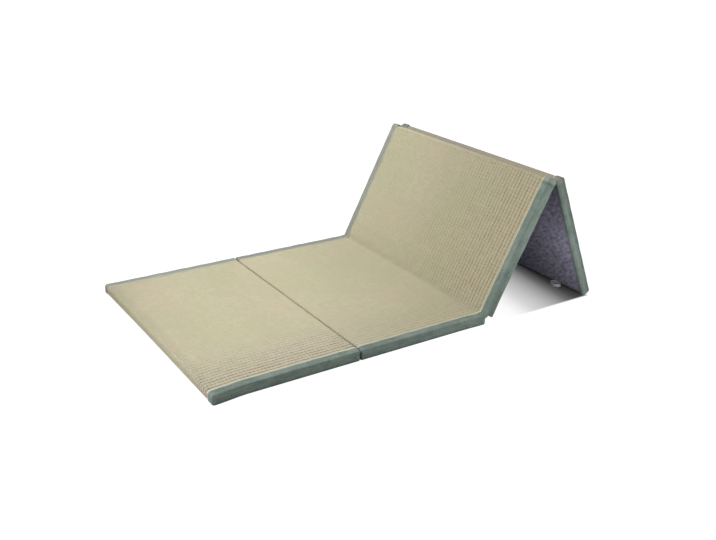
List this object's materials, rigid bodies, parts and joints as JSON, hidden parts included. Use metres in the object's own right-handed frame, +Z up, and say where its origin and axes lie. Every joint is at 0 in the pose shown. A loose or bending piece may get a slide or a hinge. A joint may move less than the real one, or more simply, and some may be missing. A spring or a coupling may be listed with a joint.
{
  "type": "folding tatami mat",
  "caption": "Folding tatami mat of firm rush-covered panels with cloth-bound long sides and felt backing, part laid flat and part standing as a tent.",
  "frame": {"origin": "bottom centre of the bounding box, on the floor that the mat rests on", "axes": "+X along the mat from its flat free end towards the standing tent, +Y across it from the near long side to the far one, +Z up"},
  "size_m": [1.4862, 0.9, 0.4694],
  "materials": {
    "rush": "woven rush matting, dry and matt with a faint silky sheen along the stems",
    "binding_cloth": "plain woven grey-green cotton tape, matt",
    "felt": "needled felt of mixed fibres, purple-grey with coloured flecks, matt",
    "tape": "light grey woven tape"
  },
  "bodies": {
    "root": {"rush_pad_1": "rush", "rush_pad_2_3": "rush", "rush_pad_4": "rush", "felt_back_1_2": "felt", "felt_back_3_4": "felt", "edge_binding_1_near": "binding_cloth", "edge_binding_1_far": "binding_cloth", "edge_binding_2_near": "binding_cloth", "edge_binding_2_far": "binding_cloth", "edge_binding_3_near": "binding_cloth", "edge_binding_3_far": "binding_cloth", "edge_binding_4_near": "binding_cloth", "edge_binding_4_far": "binding_cloth", "loop_tab": "tape"}
  },
  "joints": []
}
